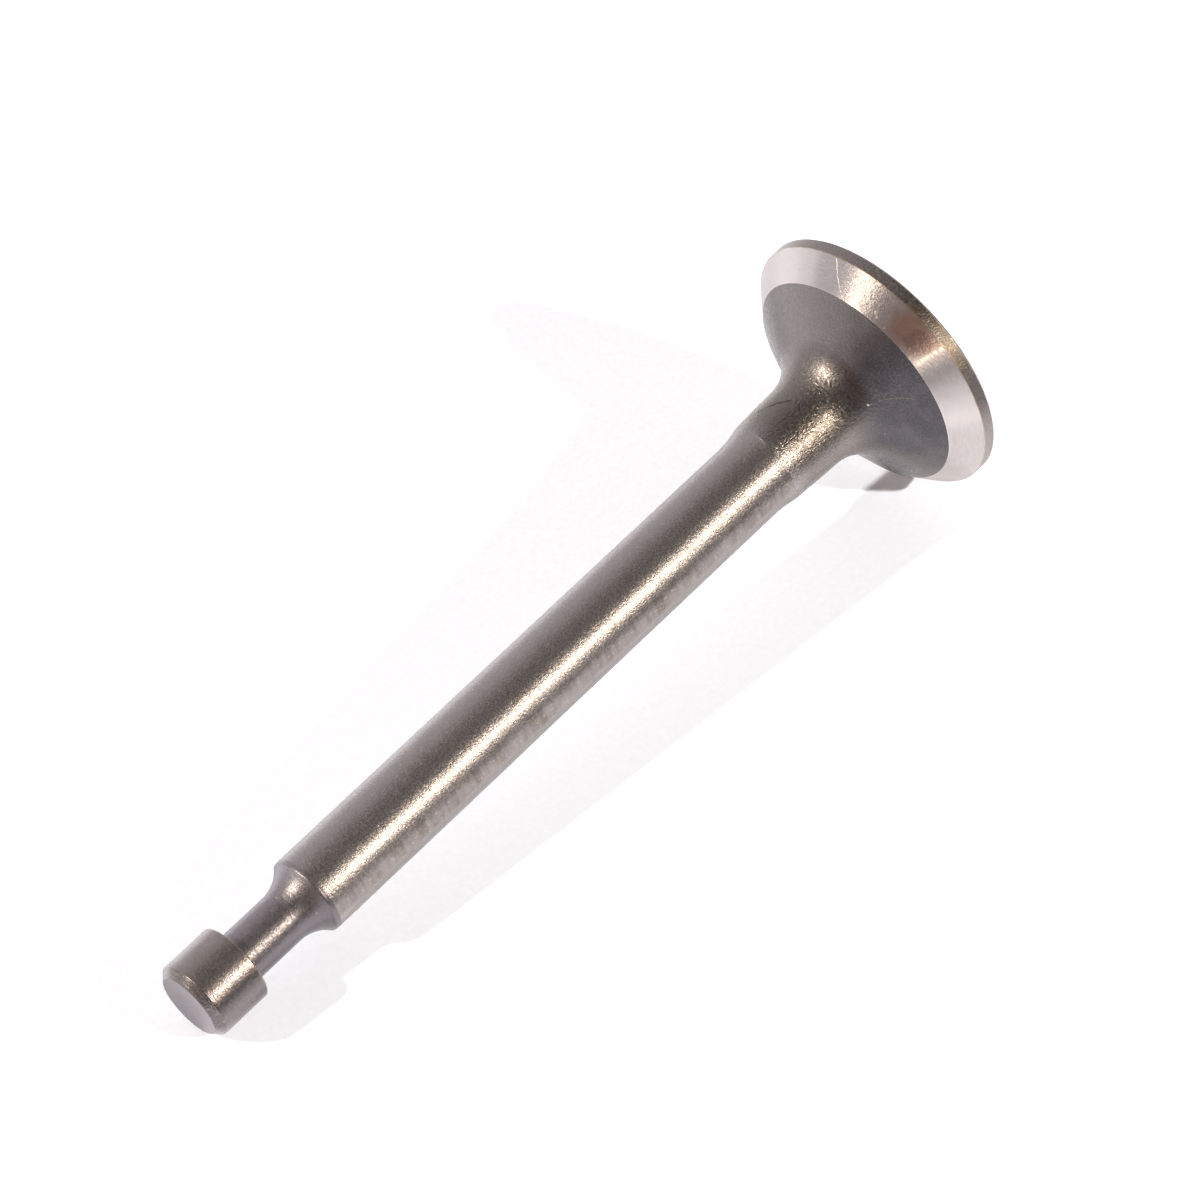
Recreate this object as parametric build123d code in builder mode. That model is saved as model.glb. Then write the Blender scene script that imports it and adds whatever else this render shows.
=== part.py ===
from build123d import *

import os
from math import radians, sqrt, tan

# An engine's exhaust valve: one steel forging, turned and ground. All sizes are in millimetres.
# The flat head face lies on Z = 0 with the origin at its centre, and the stem rises along +Z.

# --- Driving dimensions ---

# Head
head_diameter = 25.0
face_edge_break = 0.2  # the head face's outer edge, broken by turning
margin_height = 1.25  # the short cylinder round the rim
seat_angle = 45.0  # the ground sealing cone, from the head's plane
seat_radial_width = 2.15
underhead_angle = 30.0  # the forged slope behind the seat, from the head's plane

# Forged neck
neck_fillet = 5.0  # the trumpet curve from the underhead into the neck
neck_taper = 2.4  # draft of the neck, degrees each side
neck_end_diameter = 7.66  # the forging, where the stem's grinding stops
neck_end_height = 14.65

# Ground stem
stem_diameter = 7.1
stem_start_height = 17.2  # above the run-out curve that the grinding wheel leaves
stem_end_height = 69.05

# Keeper groove
groove_lead_drop = 0.05  # the stoned edge where the stem ends
groove_lead_length = 0.4
groove_radius = 3.6  # the curve that carries the load into the waist
waist_diameter = 4.5
shoulder_height = 77.25  # the flat that the keeper pulls against
shoulder_corner = 0.2
shoulder_edge = 0.12

# Tip collar
collar_diameter = 7.05  # a little under the stem, so that it passes through the guide
tip_chamfer = 0.65
tip_edge = 0.15  # the rounding on both edges of the tip's chamfer
overall_length = 82.5

# --- Radii and heights that follow ---

head_radius = head_diameter / 2
neck_end_radius = neck_end_diameter / 2
stem_radius = stem_diameter / 2
waist_radius = waist_diameter / 2
collar_radius = collar_diameter / 2

seat_inner_radius = head_radius - seat_radial_width
seat_top = margin_height + seat_radial_width * tan(radians(seat_angle))

# Drawn on, the underhead slope and the tapered neck meet in a corner, which the trumpet curve rounds:
#   on the neck       radius = neck_end_radius + neck_slope * (neck_end_height - height)
#   on the underhead  height = seat_top + underhead_slope * (seat_inner_radius - radius)
neck_slope = tan(radians(neck_taper))
underhead_slope = tan(radians(underhead_angle))
underhead_drop = neck_end_height - seat_top - underhead_slope * seat_inner_radius
corner_radius = (neck_end_radius + neck_slope * underhead_drop) / (1 - neck_slope * underhead_slope)
corner_height = seat_top + underhead_slope * (seat_inner_radius - corner_radius)

# The groove's curve leaves the waist along it, and runs out at the stoned edge of the stem.
groove_start_radius = stem_radius - groove_lead_drop
groove_start_height = stem_end_height + groove_lead_length
groove_depth = groove_start_radius - waist_radius
waist_start_height = groove_start_height + sqrt(groove_depth * (2 * groove_radius - groove_depth))


def circles_at(part, height):
    """The part's circular edges at one height, the smallest first."""
    circles = part.edges().filter_by(GeomType.CIRCLE)
    return circles.filter_by_position(Axis.Z, height, height).sort_by(SortBy.RADIUS)


# --- The valve ---

with BuildPart() as valve:
    # Half of the section, from the middle of the head face round to the middle of the tip.
    with BuildSketch(Plane.XZ):
        with BuildLine():
            Polyline(
                (0, 0),
                (head_radius, 0),
                (head_radius, margin_height),
                (seat_inner_radius, seat_top),
            )
            FilletPolyline(
                (seat_inner_radius, seat_top),
                (corner_radius, corner_height),
                (neck_end_radius, neck_end_height),
                radius=neck_fillet,
            )
            TangentArc(
                (stem_radius, stem_start_height),
                (neck_end_radius, neck_end_height),
                tangent=(0, -1),
            )
            Polyline(
                (stem_radius, stem_start_height),
                (stem_radius, stem_end_height),
                (groove_start_radius, groove_start_height),
            )
            TangentArc(
                (waist_radius, waist_start_height),
                (groove_start_radius, groove_start_height),
                tangent=(0, -1),
            )
            Polyline(
                (waist_radius, waist_start_height),
                (waist_radius, shoulder_height),
                (collar_radius, shoulder_height),
                (collar_radius, overall_length),
                (0, overall_length),
                (0, 0),
            )
        make_face()
    revolve(axis=Axis.Z)

    chamfer(circles_at(valve, 0), length=face_edge_break)
    fillet(circles_at(valve, shoulder_height).first, radius=shoulder_corner)
    fillet(circles_at(valve, shoulder_height).last, radius=shoulder_edge)

    chamfer(circles_at(valve, overall_length), length=tip_chamfer)
    tip_face_edge = circles_at(valve, overall_length)
    collar_end_edge = circles_at(valve, overall_length - tip_chamfer)
    fillet(tip_face_edge + collar_end_edge, radius=tip_edge)

valve.part.label = "valve"

os.makedirs("parts", exist_ok=True)
export_step(valve.part, "parts/valve.step")
print("valve:", round(valve.part.volume), "mm3,", valve.part.bounding_box().size)
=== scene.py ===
# %% [markdown]
# # An engine valve, finished in Blender
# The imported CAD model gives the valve's size and place. This lesson gives it the surfaces of the real thing:
# a scaly forged neck, a freshly ground seat, a fine satin stem, a smooth waisted groove and a darker tip.
# Every length below is written in millimetres and multiplied by `MM`, because Blender works in metres.

from math import acos, atan2, cos, degrees, exp, hypot, pi, radians, sin, sqrt, tan

import bmesh
import bpy
from mathutils import Matrix, Quaternion, Vector
from mathutils.noise import noise as noise_at


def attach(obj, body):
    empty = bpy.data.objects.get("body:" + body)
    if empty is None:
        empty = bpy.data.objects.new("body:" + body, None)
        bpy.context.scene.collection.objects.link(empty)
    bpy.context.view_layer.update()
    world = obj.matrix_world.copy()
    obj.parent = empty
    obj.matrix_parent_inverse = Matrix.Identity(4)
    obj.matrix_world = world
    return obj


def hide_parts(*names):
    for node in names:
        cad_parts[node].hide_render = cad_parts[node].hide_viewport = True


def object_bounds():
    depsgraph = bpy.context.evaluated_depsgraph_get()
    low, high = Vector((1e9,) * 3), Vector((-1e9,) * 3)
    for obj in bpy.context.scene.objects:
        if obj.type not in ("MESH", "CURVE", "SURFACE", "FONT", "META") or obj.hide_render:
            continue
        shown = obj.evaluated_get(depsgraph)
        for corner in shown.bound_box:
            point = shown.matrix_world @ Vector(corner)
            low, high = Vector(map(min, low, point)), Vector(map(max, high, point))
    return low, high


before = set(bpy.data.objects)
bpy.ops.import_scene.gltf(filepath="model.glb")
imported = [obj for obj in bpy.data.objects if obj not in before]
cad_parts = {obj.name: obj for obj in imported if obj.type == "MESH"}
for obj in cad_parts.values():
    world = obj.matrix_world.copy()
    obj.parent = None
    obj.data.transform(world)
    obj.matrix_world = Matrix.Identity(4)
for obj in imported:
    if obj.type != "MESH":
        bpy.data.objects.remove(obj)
cad_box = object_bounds()
MM = 0.001
print("nodes:", list(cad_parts), "CAD box:", cad_box)

# %% [markdown]
# ## The camera
# The valve stands on its head in its own frame, but it is looked at as it lies on a sheet of paper. So the
# camera is turned about its own line of sight until the stem runs down to the left. A long lens from less
# than half a metre keeps the head and the tip at nearly the same scale.

# %% Camera
AIM = Vector((1.215, 0, 33.773)) * MM
ELEVATION, AZIMUTH = radians(22.104), radians(-0.178)
DISTANCE = 421.33 * MM
ROLL = radians(-133.124)
LENS = 154.794

camera_data = bpy.data.cameras.new("camera")
camera_data.lens, camera_data.sensor_width = LENS, 36
camera = bpy.data.objects.new("camera", camera_data)
bpy.context.scene.collection.objects.link(camera)
back = Vector((sin(AZIMUTH) * cos(ELEVATION), -cos(AZIMUTH) * cos(ELEVATION), sin(ELEVATION)))
camera.location = AIM + DISTANCE * back
level = (-back).to_track_quat("-Z", "Y")
camera.rotation_euler = (level @ Quaternion((0, 0, 1), ROLL)).to_euler()
bpy.context.scene.camera = camera
bpy.context.scene.view_settings.view_transform = "Standard"
bpy.context.view_layer.update()
print("camera x axis:", [round(c, 4) for c in camera.matrix_world.col[0][:3]])

# %% [markdown]
# ## Wiring nodes in code
# A material is a small graph. These helpers keep each line of the graph on one line of code: `node` adds a
# node and fills its sockets, and a socket takes either a plain value or another node's output.

# %% Node helpers


def node(tree, kind, sockets=None, **settings):
    """Adds a node. `settings` are its options, and `sockets` gives each socket a value or a link."""
    made = tree.nodes.new(kind)
    for name, value in settings.items():
        setattr(made, name, value)
    for name, value in (sockets or {}).items():
        if isinstance(value, bpy.types.NodeSocket):
            tree.links.new(value, made.inputs[name])
        else:
            made.inputs[name].default_value = value
    return made


def maths(tree, operation, *values, clamp=False):
    """One step of arithmetic on plain numbers or sockets."""
    places = dict(enumerate(values))
    return node(tree, "ShaderNodeMath", places, operation=operation, use_clamp=clamp).outputs[0]


def vector(tree, operation, *values, output=0):
    """One step of arithmetic on vectors."""
    places = dict(enumerate(values))
    return node(tree, "ShaderNodeVectorMath", places, operation=operation).outputs[output]


def scaled(tree, value, scale):
    """A vector times a number."""
    return node(tree, "ShaderNodeVectorMath", {0: value, "Scale": scale}, operation="SCALE").outputs[0]


def mix_colour(tree, share, first, second):
    """Blends two colours by a share between 0 and 1. The colour sockets of this node are its 7th and 8th."""
    return node(tree, "ShaderNodeMix", {0: share, 6: first, 7: second}, data_type="RGBA").outputs[2]


def remap(tree, value, low, high, to_low=0.0, to_high=1.0, smooth=False):
    """Stretches one range of numbers over another, and holds the ends."""
    kind = "SMOOTHSTEP" if smooth else "LINEAR"
    places = {0: value, 1: low, 2: high, 3: to_low, 4: to_high}
    return node(tree, "ShaderNodeMapRange", places, interpolation_type=kind).outputs[0]


def blank_material(name):
    """A new material with only its output node."""
    material = bpy.data.materials.new(name)
    material.use_nodes = True
    material.node_tree.nodes.clear()
    return material, material.node_tree, node(material.node_tree, "ShaderNodeOutputMaterial")


# %% [markdown]
# ## Shared surface effects
# The same few effects come back all over the valve, and one of them on the paper too, so each is a node group
# that is built once: grain, lines that run round the axis, specks, soft patches, one side, a worn edge and a
# scratch. A group takes its sizes in millimetres and puts out one number. The material that uses it decides
# what that number changes.

# %% Group helpers


def new_group(name, inputs):
    """A node group with number or vector inputs and one number output, called Value."""
    group = bpy.data.node_groups.new(name, "ShaderNodeTree")
    for socket, value in inputs.items():
        kind = "NodeSocketVector" if isinstance(value, tuple) else "NodeSocketFloat"
        made = group.interface.new_socket(socket, in_out="INPUT", socket_type=kind)
        made.default_value = value
    group.interface.new_socket("Value", in_out="OUTPUT", socket_type="NodeSocketFloat")
    print("group:", name, "takes", list(inputs))
    return group, group.nodes.new("NodeGroupInput").outputs, group.nodes.new("NodeGroupOutput").inputs[0]


def use(tree, group, **sockets):
    """Places a node group and returns what it puts out."""
    named = {name.capitalize(): value for name, value in sockets.items()}
    return node(tree, "ShaderNodeGroup", named, node_tree=group).outputs[0]


def place_in_mm(tree):
    """Where a point lies in the object's own frame, in millimetres."""
    return scaled(tree, node(tree, "ShaderNodeTexCoord").outputs["Object"], 1 / MM)


def long_side(tree, *legs):
    """The long side of a right triangle, from its two legs."""
    squares = [maths(tree, "MULTIPLY", leg, leg) for leg in legs]
    return maths(tree, "SQRT", maths(tree, "ADD", *squares))


def radius_and_height(tree):
    """How far a point is from the valve's axis, and how high it is, in millimetres."""
    axes = node(tree, "ShaderNodeSeparateXYZ", {0: place_in_mm(tree)}).outputs
    return long_side(tree, axes["X"], axes["Y"]), axes["Z"]


# %% Grain: an even noise, which Warp turns into worm-like wrinkles
grain, inside, outside = new_group("grain", {"Size": 0.2, "Detail": 2.0, "Warp": 0.0, "Seed": 0.0})
noise = node(grain, "ShaderNodeTexNoise", {
    "Vector": vector(grain, "ADD", place_in_mm(grain), inside["Seed"]),
    "Scale": maths(grain, "DIVIDE", 1.0, inside["Size"]),
    "Detail": inside["Detail"], "Distortion": inside["Warp"],
})
grain.links.new(noise.outputs["Fac"], outside)

# %% Lines round the axis: the same noise, drawn out round the valve
turned, inside, outside = new_group("turned_lines", {"Pitch": 0.1, "Length": 4.0, "Detail": 4.0})
axes = node(turned, "ShaderNodeSeparateXYZ", {0: place_in_mm(turned)}).outputs
radius, height = radius_and_height(turned)
along = maths(turned, "SUBTRACT", height, radius)
drawn_out = node(turned, "ShaderNodeCombineXYZ", {
    "X": maths(turned, "DIVIDE", axes["X"], inside["Length"]),
    "Y": maths(turned, "DIVIDE", axes["Y"], inside["Length"]),
    "Z": maths(turned, "DIVIDE", along, inside["Pitch"]),
}).outputs[0]
noise = node(turned, "ShaderNodeTexNoise", {"Vector": drawn_out, "Scale": 1.0, "Detail": inside["Detail"]})
turned.links.new(noise.outputs["Fac"], outside)

# %% Specks: a chosen share of small random cells, each with one dot in it
DOT_EDGE = (0.3, 0.08)
specks, inside, outside = new_group("specks", {"Size": 0.3, "Share": 0.1, "Seed": 0.0})
cells = node(specks, "ShaderNodeTexVoronoi", {
    "Vector": vector(specks, "ADD", place_in_mm(specks), inside["Seed"]),
    "Scale": maths(specks, "DIVIDE", 1.0, inside["Size"]),
}).outputs
chance = node(specks, "ShaderNodeSeparateColor", {0: cells["Color"]}).outputs[0]
chosen = maths(specks, "LESS_THAN", chance, inside["Share"])
dot = remap(specks, cells["Distance"], *DOT_EDGE, smooth=True)
specks.links.new(maths(specks, "MULTIPLY", chosen, dot), outside)

# %% A soft patch round one point, with a ragged edge
SOFT_EDGE = (1.0, 0.4)
patch, inside, outside = new_group("patch", {"Centre": (0.0, 0.0, 0.0), "Reach": 1.0, "Ragged": 0.5})
away = vector(patch, "DISTANCE", place_in_mm(patch), inside["Centre"], output=1)
away = maths(patch, "DIVIDE", away, inside["Reach"])
rough = use(patch, grain, size=maths(patch, "MULTIPLY", inside["Reach"], 0.5), detail=4.0)
rough = maths(patch, "MULTIPLY", maths(patch, "SUBTRACT", rough, 0.5), inside["Ragged"])
away = maths(patch, "MULTIPLY_ADD", rough, 2.0, away)
patch.links.new(remap(patch, away, *SOFT_EDGE, smooth=True), outside)

# %% One side of the valve: a mask round one azimuth, in degrees, with a ragged border
side, inside, outside = new_group("side", {"Azimuth": 0.0, "Begin": 60.0, "Full": 20.0, "Ragged": 10.0})
axes = node(side, "ShaderNodeSeparateXYZ", {0: place_in_mm(side)}).outputs
turn = maths(side, "RADIANS", inside["Azimuth"])
forward = maths(
    side, "ADD", maths(side, "MULTIPLY", axes["X"], maths(side, "COSINE", turn)),
    maths(side, "MULTIPLY", axes["Y"], maths(side, "SINE", turn)),
)
radius, height = radius_and_height(side)
away = maths(side, "DEGREES", maths(side, "ARCCOSINE", maths(side, "DIVIDE", forward, radius)))
rough = maths(side, "SUBTRACT", use(side, grain, size=2.0, detail=4.0), 0.5)
away = maths(side, "MULTIPLY_ADD", rough, maths(side, "MULTIPLY", inside["Ragged"], 2.0), away)
side.links.new(remap(side, away, inside["Begin"], inside["Full"], smooth=True), outside)

# %% A worn edge: a broken bright line round the valve at one radius and height
NARROWEST, WIDEST = 0.25, 1.2
worn_edge, inside, outside = new_group("worn_edge", {"Radius": 1.0, "Height": 1.0, "Width": 0.1})
radius, height = radius_and_height(worn_edge)
gap = long_side(
    worn_edge, maths(worn_edge, "SUBTRACT", radius, inside["Radius"]),
    maths(worn_edge, "SUBTRACT", height, inside["Height"]),
)
breaks = remap(worn_edge, use(worn_edge, grain, size=0.6, detail=4.0), 0.35, 0.65, NARROWEST, WIDEST)
gap = maths(worn_edge, "DIVIDE", gap, maths(worn_edge, "MULTIPLY", inside["Width"], breaks))
worn_edge.links.new(remap(worn_edge, gap, *SOFT_EDGE, smooth=True), outside)

# %% A scratch between two points, which wavers a little
WAVERS_PER_MM, WAVER = 1.3, 0.25
scratch, inside, outside = new_group("scratch", {
    "Start": (0.0, 0.0, 0.0), "End": (0.0, 0.0, 0.0), "Width": 0.1,
})
place = place_in_mm(scratch)
waves = node(scratch, "ShaderNodeTexNoise", {"Vector": place, "Scale": WAVERS_PER_MM, "Detail": 2.0})
shake = scaled(scratch, vector(scratch, "SUBTRACT", waves.outputs["Color"], (0.5, 0.5, 0.5)), WAVER)
reach = vector(scratch, "SUBTRACT", vector(scratch, "ADD", place, shake), inside["Start"])
run = vector(scratch, "SUBTRACT", inside["End"], inside["Start"])
share = maths(
    scratch, "DIVIDE", vector(scratch, "DOT_PRODUCT", reach, run, output=1),
    vector(scratch, "DOT_PRODUCT", run, run, output=1), clamp=True,
)
gap = vector(scratch, "DISTANCE", reach, scaled(scratch, run, share), output=1)
gap = maths(scratch, "DIVIDE", gap, maths(scratch, "MULTIPLY", inside["Width"], 0.5))
scratch.links.new(maths(scratch, "SUBTRACT", 1.0, gap, clamp=True), outside)

# %% [markdown]
# ## The paper
# The valve rests on a sheet of white paper and touches it at two places, the rim of the head and the tip.
# In the valve's own frame that sheet leans, so a flat grid is turned until it lies square to the paper's
# normal, and then moved to where the line of sight meets it. It ends soon to the right, and the steel shows
# that: the dark line along the right flank runs up to where the paper begins. Paper is almost matt and has a
# fine tooth, so a plain diffuse shader with a little grain in its colour is all it needs. Near the head,
# where the valve stands close over the sheet, light that comes through from below lifts the shadow. A small
# glow does that, and only rays from the camera, gloss and glass can see it.

# %% Paper: where it lies and how large it is
PAPER_NORMAL = Vector((0.4567, -0.8829, -0.1093)).normalized()
PAPER_POINT = Vector((-5.743, 11.103, 0.2)) * MM
PAPER_WIDTH, PAPER_LENGTH = 150 * MM, 215 * MM
PAPER_RIGHT_EDGE = 62 * MM


def add_object(name, mesh):
    """A new object in the scene, from a mesh or a lamp."""
    made = bpy.data.objects.new(name, mesh)
    bpy.context.scene.collection.objects.link(made)
    return made


sight = AIM - camera.location
foot = AIM + sight * (PAPER_POINT - AIM).dot(PAPER_NORMAL) / sight.dot(PAPER_NORMAL)
across = camera.matrix_world.to_3x3() @ Vector((1, 0, 0))
across = (across - across.dot(PAPER_NORMAL) * PAPER_NORMAL).normalized()
sheet_mesh = bmesh.new()
bmesh.ops.create_grid(sheet_mesh, x_segments=1, y_segments=1, size=0.5)
bmesh.ops.scale(sheet_mesh, verts=sheet_mesh.verts, vec=(PAPER_WIDTH, PAPER_LENGTH, 1))
bmesh.ops.translate(sheet_mesh, verts=sheet_mesh.verts, vec=(PAPER_RIGHT_EDGE - PAPER_WIDTH / 2, 0, 0))
turn = Matrix((across, PAPER_NORMAL.cross(across), PAPER_NORMAL)).transposed()
bmesh.ops.rotate(sheet_mesh, verts=sheet_mesh.verts, matrix=turn)
bmesh.ops.translate(sheet_mesh, verts=sheet_mesh.verts, vec=foot)
paper_data = bpy.data.meshes.new("paper")
sheet_mesh.to_mesh(paper_data)
sheet_mesh.free()
paper = add_object("paper", paper_data)
print("paper foot below the valve's middle:", foot)

# %% Paper: its surface, and the light that comes through it
PAPER_WHITE, PAPER_TOOTH = (0.97, 0.97, 0.97, 1), (0.93, 0.93, 0.93, 1)
PAPER_GLOW_SPOT = Vector((-14.6, 8.8, -13.0)) * MM
PAPER_GLOW_REACH = (6 * MM, 20 * MM)
PAPER_GLOW = 0.12
paper_material, tree, output = blank_material("white_paper")
rays = node(tree, "ShaderNodeLightPath").outputs
seen = maths(tree, "ADD", rays["Is Camera Ray"], rays["Is Glossy Ray"], clamp=True)
seen = maths(tree, "ADD", seen, rays["Is Transmission Ray"], clamp=True)
tooth = remap(tree, use(tree, grain, size=0.45, detail=3.0), 0.3, 0.7)
matt = node(tree, "ShaderNodeBsdfDiffuse", {"Color": mix_colour(tree, tooth, PAPER_TOOTH, PAPER_WHITE)})
place = node(tree, "ShaderNodeTexCoord").outputs["Object"]
away = vector(tree, "DISTANCE", place, PAPER_GLOW_SPOT, output=1)
glow = remap(tree, away, *PAPER_GLOW_REACH, PAPER_GLOW, 0, smooth=True)
own_light = maths(tree, "MULTIPLY", seen, glow)
own = node(tree, "ShaderNodeEmission", {"Color": (1, 1, 1, 1), "Strength": own_light})
both = node(tree, "ShaderNodeAddShader", {0: matt.outputs[0], 1: own.outputs[0]})
behind = node(tree, "ShaderNodeNewGeometry").outputs["Backfacing"]
unseen = maths(tree, "MULTIPLY", behind, rays["Is Camera Ray"])
clear = node(tree, "ShaderNodeBsdfTransparent")
surface = node(tree, "ShaderNodeMixShader", {0: unseen, 1: both.outputs[0], 2: clear.outputs[0]})
tree.links.new(surface.outputs[0], output.inputs["Surface"])
paper_data.materials.append(paper_material)
print("paper material:", len(tree.nodes), "nodes")

# %% [markdown]
# ## The light
# Two small warm lamps stand to the left and the right of the lens. Each throws one faint shadow on the paper,
# and each shows in the metal as one narrow streak. Round them is a room: a large shell that is pale beyond
# the paper and dark on the camera's side, because that dark patch is what gives steel its depth. White paper
# takes more light than steel does to look right, so each lamp has a cooler twin, linked to the paper alone.
# The steel then stays at the plain level at which a colour renders as it is written.

# %% Lamps
WARM, COOL = (1.0, 0.89, 0.74), (0.79, 0.86, 1.0)
# Each lamp's direction and distance, its width, its power for everything and its extra power for the paper.
LAMPS = {
    "lamp_low": (Vector((-0.416, -0.850, -0.323)), 1180 * MM, 50 * MM, 7.6, 10.9),
    "lamp_side": (Vector((0.686, -0.454, 0.567)), 2300 * MM, 100 * MM, 26.0, 36.5),
}
middle = Vector((0, 0, cad_box[1][2] / 2))
paper_only = bpy.data.collections.new("paper_only")
paper_only.objects.link(paper)


def add_lamp(name, towards, distance, size, power, colour):
    """A round lamp that looks back at the valve."""
    lamp_data = bpy.data.lights.new(name, "AREA")
    lamp_data.shape, lamp_data.size = "DISK", size
    lamp_data.energy, lamp_data.color = power, colour
    lamp = add_object(name, lamp_data)
    lamp.location = middle + towards.normalized() * distance
    lamp.rotation_euler = towards.to_track_quat("Z", "Y").to_euler()
    lamp.visible_camera = False
    return lamp


for name, (towards, distance, size, power, extra) in LAMPS.items():
    add_lamp(name, towards, distance, size, power, WARM)
    helper = add_lamp(name + "_on_paper", towards, distance, size, extra, COOL)
    helper.light_linking.receiver_collection = paper_only
print("lamps:", list(LAMPS))

# %% World and the shell of the room
ROOM_RADIUS = 2800 * MM
world = bpy.data.worlds.new("white_room")
bpy.context.scene.world = world
world.use_nodes = True
world.node_tree.nodes["Background"].inputs["Color"].default_value = (1, 1, 1, 1)
shell = bmesh.new()
bmesh.ops.create_uvsphere(shell, u_segments=48, v_segments=24, radius=ROOM_RADIUS)
bmesh.ops.reverse_faces(shell, faces=shell.faces)
room_data = bpy.data.meshes.new("room")
shell.to_mesh(room_data)
shell.free()
room = add_object("room", room_data)
room.visible_camera = room.visible_shadow = room.visible_transmission = False
print("room shell:", len(room_data.polygons), "faces")

# %% Room tones: pale beyond the paper, dark on the camera's side
# How far a direction points away from the camera side, from -1 to 1, and how bright the room is there.
ROOM_TONES = (
    (-1.0, (0.20, 0.19, 0.187)),
    (-0.7, (0.215, 0.205, 0.202)),
    (-0.46, (0.44, 0.42, 0.432)),
    (-0.15, (0.74, 0.71, 0.745)),
    (0.17, (0.80, 0.77, 0.815)),
    (0.47, (0.95, 0.925, 0.96)),
)
DARK_CORNER, DARK_CORNER_EDGE = Vector((0, -0.30, 0.954)), (0.80, 0.95)
DARK_CORNER_TONE = (0.40, 0.275, 0.23, 1)
LOW_SIDE_EDGE, LOW_SIDE_SHARE = (-0.6, -0.2), 0.70
room_material, tree, output = blank_material("room")
room_material.cycles.emission_sampling = "NONE"
place = node(tree, "ShaderNodeTexCoord").outputs["Object"]
towards = vector(tree, "NORMALIZE", place)
axes = node(tree, "ShaderNodeSeparateXYZ", {0: towards}).outputs
ramp = node(tree, "ShaderNodeValToRGB", {0: maths(tree, "MULTIPLY_ADD", axes["Y"], 0.5, 0.5)})
while len(ramp.color_ramp.elements) < len(ROOM_TONES):
    ramp.color_ramp.elements.new(0.5)
for element, (position, tone) in zip(ramp.color_ramp.elements, ROOM_TONES):
    element.position, element.color = (position + 1) / 2, (*tone, 1)
low_side = remap(tree, axes["X"], *LOW_SIDE_EDGE, LOW_SIDE_SHARE, 1)
corner = vector(tree, "DOT_PRODUCT", towards, DARK_CORNER, output=1)
corner = remap(tree, corner, *DARK_CORNER_EDGE, smooth=True)
tone = mix_colour(tree, corner, ramp.outputs["Color"], DARK_CORNER_TONE)
glow = node(tree, "ShaderNodeEmission", {"Color": tone, "Strength": low_side})
tree.links.new(glow.outputs[0], output.inputs["Surface"])
room_data.materials.append(room_material)
print("room material:", len(tree.nodes), "nodes; paper and room are stage only")

# %% [markdown]
# ## The valve's section
# On the lathe and the grinding wheel, a valve is one line turned about one axis. So it is drawn here the same
# way: a single point starts in the middle of the head face and is drawn along the section. Straight lengths
# are extruded, and curves are spun about their own centre, so that each is a true arc. The values are the
# CAD model's own.

# %% Section values, in mm
HEAD_RADIUS = 12.5
FACE_BREAK = 0.2
MARGIN_TOP = 1.25
SEAT_INNER = 10.35
SEAT_TOP = 3.4
UNDERHEAD_ANGLE, NECK_DRAFT = 30, 2.4
UNDERHEAD_SLOPE, NECK_SLOPE = tan(radians(UNDERHEAD_ANGLE)), tan(radians(NECK_DRAFT))
NECK_FILLET = 5.0
NECK_END_RADIUS, NECK_END = 3.83, 14.65
STEM_RADIUS, STEM_START, STEM_END = 3.55, 17.2, 69.05
LEAD_RADIUS, LEAD_END = 3.5, 69.45
GROOVE_RADIUS, WAIST_RADIUS = 3.6, 2.25
SHOULDER, SHOULDER_CORNER, SHOULDER_EDGE = 77.25, 0.2, 0.12
COLLAR_RADIUS = 3.525
TIP_CHAMFER, TIP_ANGLE, TIP_EDGE = 0.65, 45, 0.15
LENGTH = 82.5
print("head, stem and length:", 2 * HEAD_RADIUS, 2 * STEM_RADIUS, LENGTH, "mm")

# %% Where the neck's curve, the run-out and the waist begin
underhead_drop = NECK_END - SEAT_TOP - UNDERHEAD_SLOPE * SEAT_INNER
corner_radius = (NECK_END_RADIUS + NECK_SLOPE * underhead_drop) / (1 - NECK_SLOPE * UNDERHEAD_SLOPE)
corner_height = SEAT_TOP + UNDERHEAD_SLOPE * (SEAT_INNER - corner_radius)
fillet_turn = radians(90 - UNDERHEAD_ANGLE - NECK_DRAFT)
fillet_reach = NECK_FILLET * tan(fillet_turn / 2)
fillet_start = (
    corner_radius + fillet_reach * cos(radians(UNDERHEAD_ANGLE)),
    corner_height - fillet_reach * sin(radians(UNDERHEAD_ANGLE)),
)
fillet_centre = (
    fillet_start[0] + NECK_FILLET * sin(radians(UNDERHEAD_ANGLE)),
    fillet_start[1] + NECK_FILLET * cos(radians(UNDERHEAD_ANGLE)),
)
runout_depth, runout_length = NECK_END_RADIUS - STEM_RADIUS, STEM_START - NECK_END
RUNOUT_RADIUS = (runout_length**2 + runout_depth**2) / (2 * runout_depth)
groove_depth = LEAD_RADIUS - WAIST_RADIUS
WAIST_START = LEAD_END + sqrt(groove_depth * (2 * GROOVE_RADIUS - groove_depth))
print("the neck's curve starts at", fillet_start)
print("run-out radius", round(RUNOUT_RADIUS, 2), "and waist from", round(WAIST_START, 2))

# %% Drawing tools


def begin(bm):
    """Puts the pen down in the middle of the head face."""
    return bmesh.ops.create_vert(bm, co=(0, 0, 0))["vert"][0]


def straight(bm, pen, radius, height, steps=1):
    """Extrudes the section in a straight line, in equal steps, to a radius and a height."""
    step = (Vector((radius, 0, height)) * MM - pen.co) / steps
    for _ in range(steps):
        pen = bmesh.ops.extrude_vert_indiv(bm, verts=[pen])["verts"][0]
        bmesh.ops.translate(bm, verts=[pen], vec=step)
    return pen


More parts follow.
